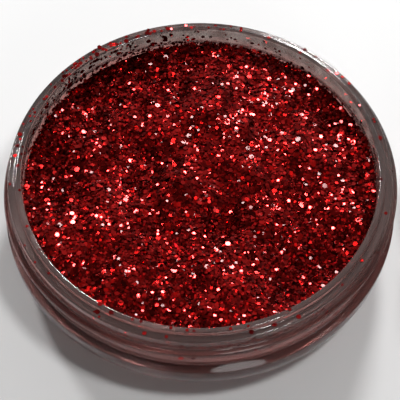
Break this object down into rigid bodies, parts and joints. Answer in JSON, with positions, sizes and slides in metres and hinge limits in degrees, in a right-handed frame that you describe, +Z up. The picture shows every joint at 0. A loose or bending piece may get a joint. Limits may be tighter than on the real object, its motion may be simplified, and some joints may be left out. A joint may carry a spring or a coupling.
{
  "type": "glitter pot",
  "caption": "Low round screw-top pot filled with loose glitter, open, with its ribbed lid lying upside down beside it.",
  "frame": {"origin": "middle of the pot's flat underside", "axes": "+Z up along the pot's axis, +X from the pot towards the lid lying beside it, +Y away from the front"},
  "size_m": [0.0729, 0.0364, 0.01],
  "materials": {
    "pot_plastic": "clear smoky grey moulded plastic, glossy",
    "glitter": "loose metallised red flakes, sparkling",
    "lid_plastic": "clear smoky grey moulded plastic, glossy",
    "liner_foam": "white closed-cell foam, matt"
  },
  "bodies": {
    "pot": {"pot_body": "pot_plastic", "glitter_fill": "glitter"},
    "lid": {"lid_cap": "lid_plastic", "lid_liner": "liner_foam"}
  },
  "joints": [
    {"name": "lid_carry", "type": "hinge", "parent": "pot", "child": "lid", "pos_m": [0.01885, 0, 0.00855], "axis": [0, -1, 0], "range_deg": [0, 180]}
  ]
}
